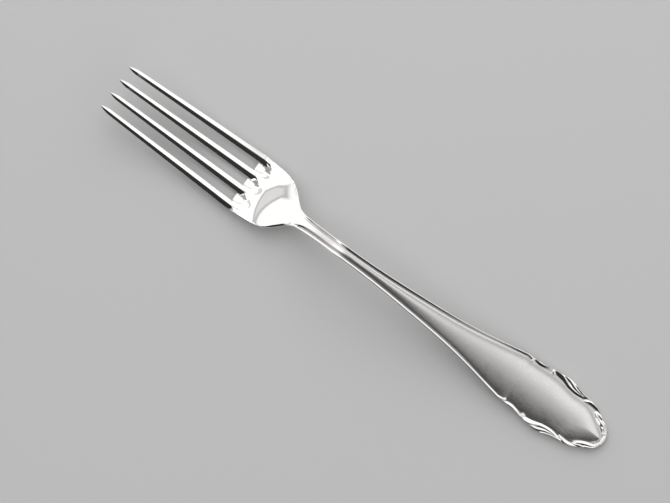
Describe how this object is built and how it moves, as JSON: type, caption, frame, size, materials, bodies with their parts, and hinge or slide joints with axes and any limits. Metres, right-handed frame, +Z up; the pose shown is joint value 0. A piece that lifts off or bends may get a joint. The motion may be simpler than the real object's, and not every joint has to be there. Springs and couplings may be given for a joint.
{
  "type": "dinner fork",
  "caption": "Table fork with slender tines on a dished palm, an arched stem with threaded edges and a rounded handle end with a scrolled border.",
  "frame": {"origin": "on the table, under the middle of the fork's bounding box", "axes": "+X runs along the fork from the tine tips to the end of the handle, +Y to the right-hand side of someone who holds it tines up, +Z up from the table"},
  "size_m": [0.206, 0.0222, 0.0179],
  "materials": {
    "polished_silver": "mirror polish with fine wear",
    "satin_silver": "satin, brushed along the length"
  },
  "bodies": {
    "root": {"tine_1": "polished_silver", "tine_2": "polished_silver", "tine_3": "polished_silver", "tine_4": "polished_silver", "palm": "polished_silver", "neck": "satin_silver", "stem": "satin_silver", "handle": "satin_silver", "thread_left": "polished_silver", "thread_right": "polished_silver", "bracket_left": "polished_silver", "bracket_right": "polished_silver", "leaf_left": "polished_silver", "leaf_right": "polished_silver", "scroll_left": "polished_silver", "scroll_right": "polished_silver", "end_leaf_left": "polished_silver", "end_leaf_right": "polished_silver", "end_shell": "polished_silver"}
  },
  "joints": []
}
